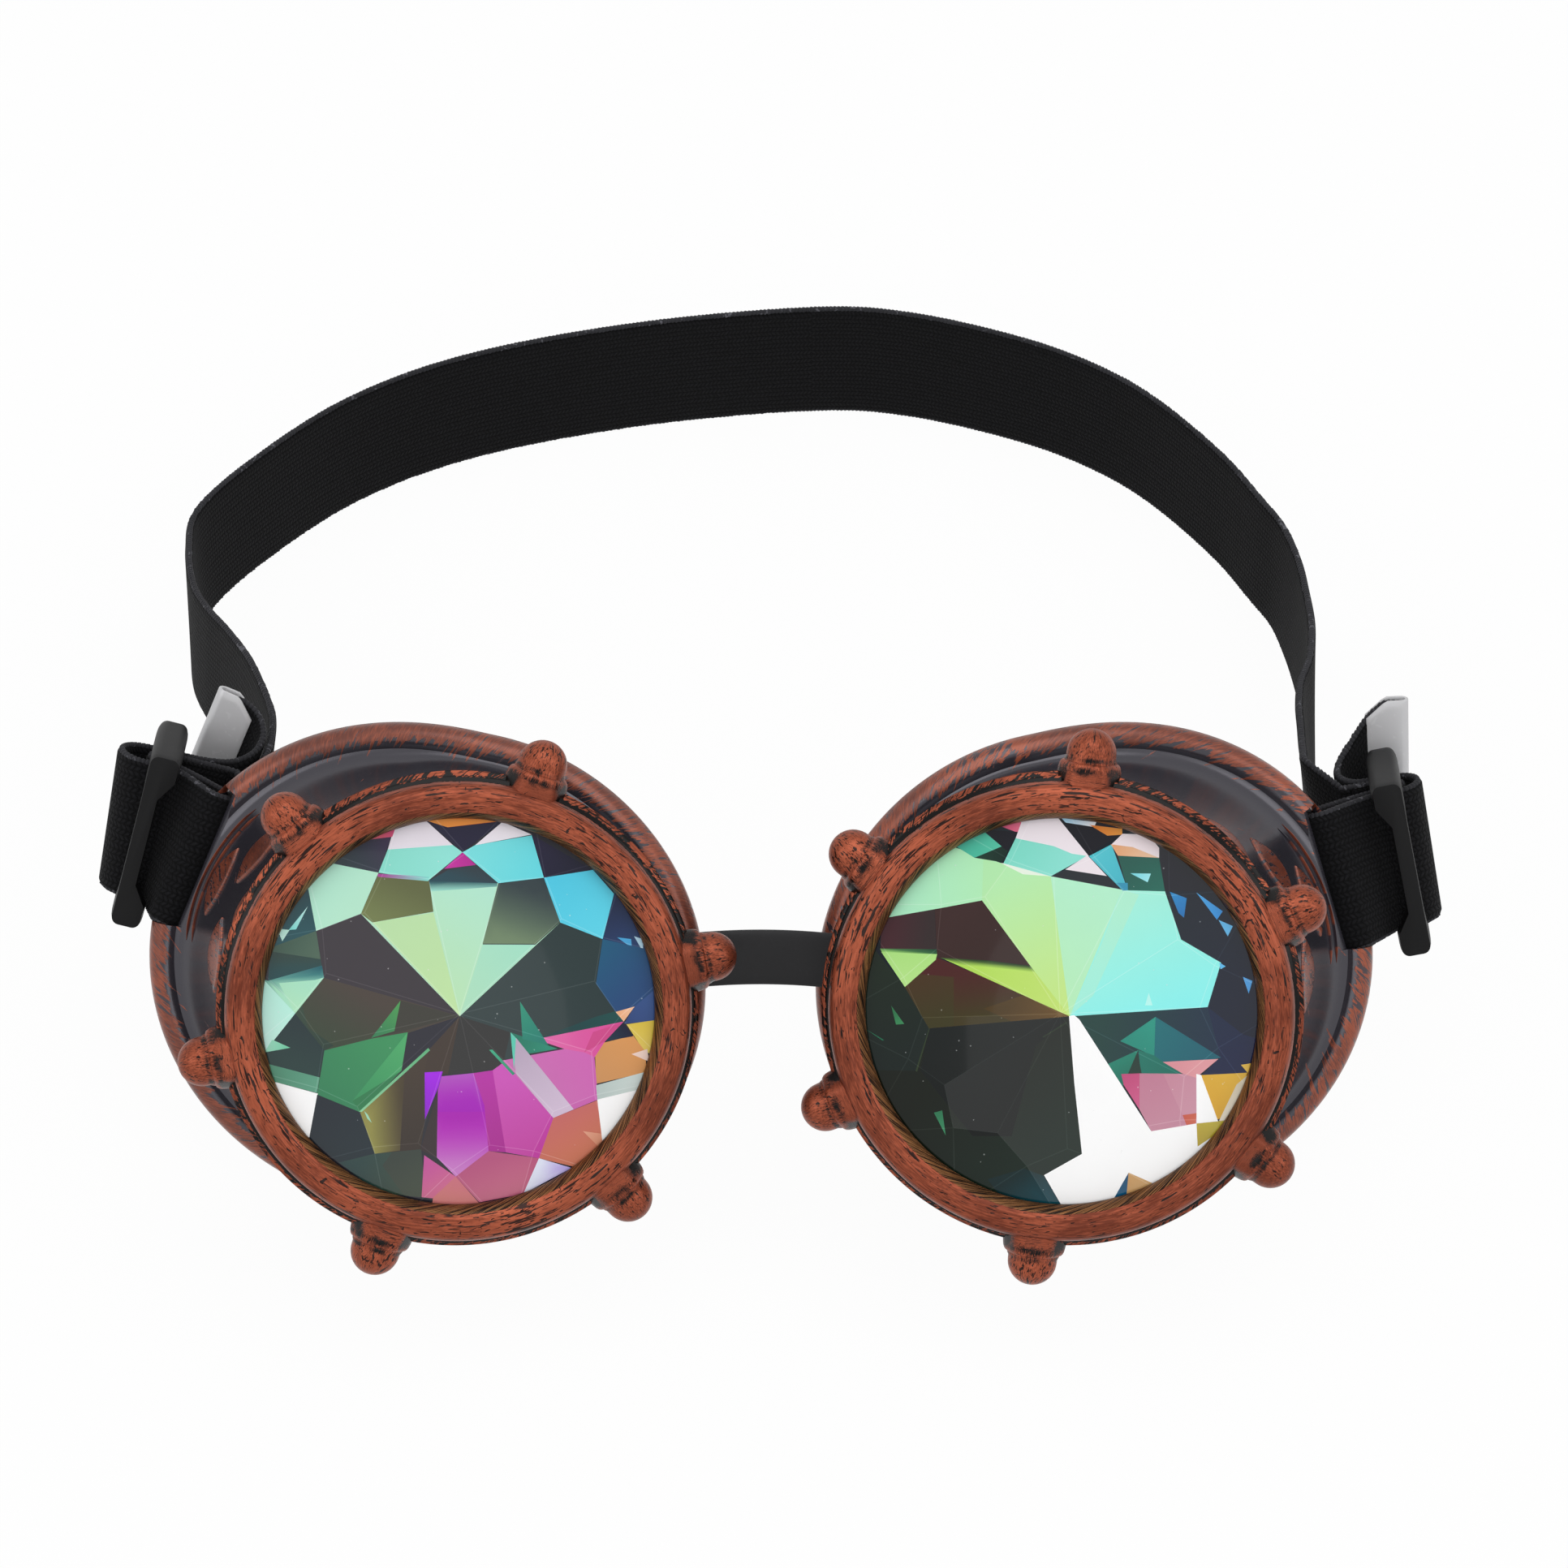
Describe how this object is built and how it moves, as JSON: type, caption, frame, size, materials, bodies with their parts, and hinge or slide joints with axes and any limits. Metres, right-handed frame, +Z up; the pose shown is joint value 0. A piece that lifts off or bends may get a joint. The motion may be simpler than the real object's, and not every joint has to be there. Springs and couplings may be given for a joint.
{
  "type": "costume goggles",
  "caption": "Round-lens costume goggles with copper-rubbed screw bezels, faceted colour lenses, flared black cups and a knitted elastic headband.",
  "frame": {"origin": "centre of the bounding box at its bottom, on the surface that the rims' lowest points and the headband's lower edge stand on", "axes": "+X from the wearer's right to the wearer's left, as seen from in front to the right; -Y is the way the lenses face, with the lenses leaning back 37 degrees; +Z up from the surface"},
  "size_m": [0.179, 0.1831, 0.0692],
  "materials": {
    "rubbed_copper": "moulded black plastic rubbed by hand with copper paint, satin",
    "black_plastic": "moulded black plastic, satin, copper rubbed on the rim and raised leaves",
    "coated_glass": "faceted crystal with a colour-changing coating",
    "soft_black": "matte black soft vinyl",
    "knitted_elastic": "black knitted elastic, matte",
    "slider_black": "black moulded plastic, low sheen",
    "nickel_clip": "thin nickel-plated sheet, bright"
  },
  "bodies": {
    "straps": {"nose_strap": "soft_black", "headband": "knitted_elastic"},
    "left_cup": {"left_eyecup": "black_plastic", "left_strap_end": "knitted_elastic", "left_strap_clip": "nickel_clip"},
    "left_lens": {"left_crystal_lens": "coated_glass", "left_lens_seal": "soft_black"},
    "left_bezel_ring": {"left_bezel": "rubbed_copper"},
    "left_buckle": {"left_slider": "slider_black"},
    "right_cup": {"right_eyecup": "black_plastic", "right_strap_end": "knitted_elastic", "right_strap_clip": "nickel_clip"},
    "right_lens": {"right_crystal_lens": "coated_glass", "right_lens_seal": "soft_black"},
    "right_bezel_ring": {"right_bezel": "rubbed_copper"},
    "right_buckle": {"right_slider": "slider_black"}
  },
  "joints": [
    {"name": "left_cup_fold", "type": "hinge", "parent": "straps", "child": "left_cup", "pos_m": [-0.00845, -0.05753, 0.03674], "axis": [-0.0817, 0.5962, 0.7986], "range_deg": [-12, 5], "deforming": ["headband", "nose_strap"]},
    {"name": "left_lens_lift", "type": "slide", "parent": "left_cup", "child": "left_lens", "axis": [0.1084, -0.7912, 0.6018], "range_m": [0, 0.0034]},
    {"name": "left_bezel_turn", "type": "hinge", "parent": "left_lens", "child": "left_bezel_ring", "pos_m": [-0.0366, -0.0731, 0.04361], "axis": [0.1084, -0.7912, 0.6018], "range_deg": [0, 540]},
    {"name": "left_slider_tilt", "type": "hinge", "parent": "left_cup", "child": "left_buckle", "pos_m": [-0.081, -0.0316, 0.035], "axis": [-0.2703, -0.4505, -0.8509], "range_deg": [0, 8]},
    {"name": "right_cup_fold", "type": "hinge", "parent": "straps", "child": "right_cup", "pos_m": [0.00845, -0.05753, 0.03674], "axis": [-0.0817, -0.5962, -0.7986], "range_deg": [-12, 5], "deforming": ["headband", "nose_strap"]},
    {"name": "right_lens_lift", "type": "slide", "parent": "right_cup", "child": "right_lens", "axis": [-0.1084, -0.7912, 0.6018], "range_m": [0, 0.0034]},
    {"name": "right_bezel_turn", "type": "hinge", "parent": "right_lens", "child": "right_bezel_ring", "pos_m": [0.0366, -0.0731, 0.04361], "axis": [-0.1084, -0.7912, 0.6018], "range_deg": [0, 540]},
    {"name": "right_slider_tilt", "type": "hinge", "parent": "right_cup", "child": "right_buckle", "pos_m": [0.081, -0.0316, 0.035], "axis": [-0.2703, 0.4505, 0.8509], "range_deg": [0, 8]}
  ],
  "couplings": [
    {"joint": "left_lens_lift", "follows": "left_bezel_turn", "m_per_rad": 0.00035014},
    {"joint": "right_lens_lift", "follows": "right_bezel_turn", "m_per_rad": 0.00035014}
  ]
}
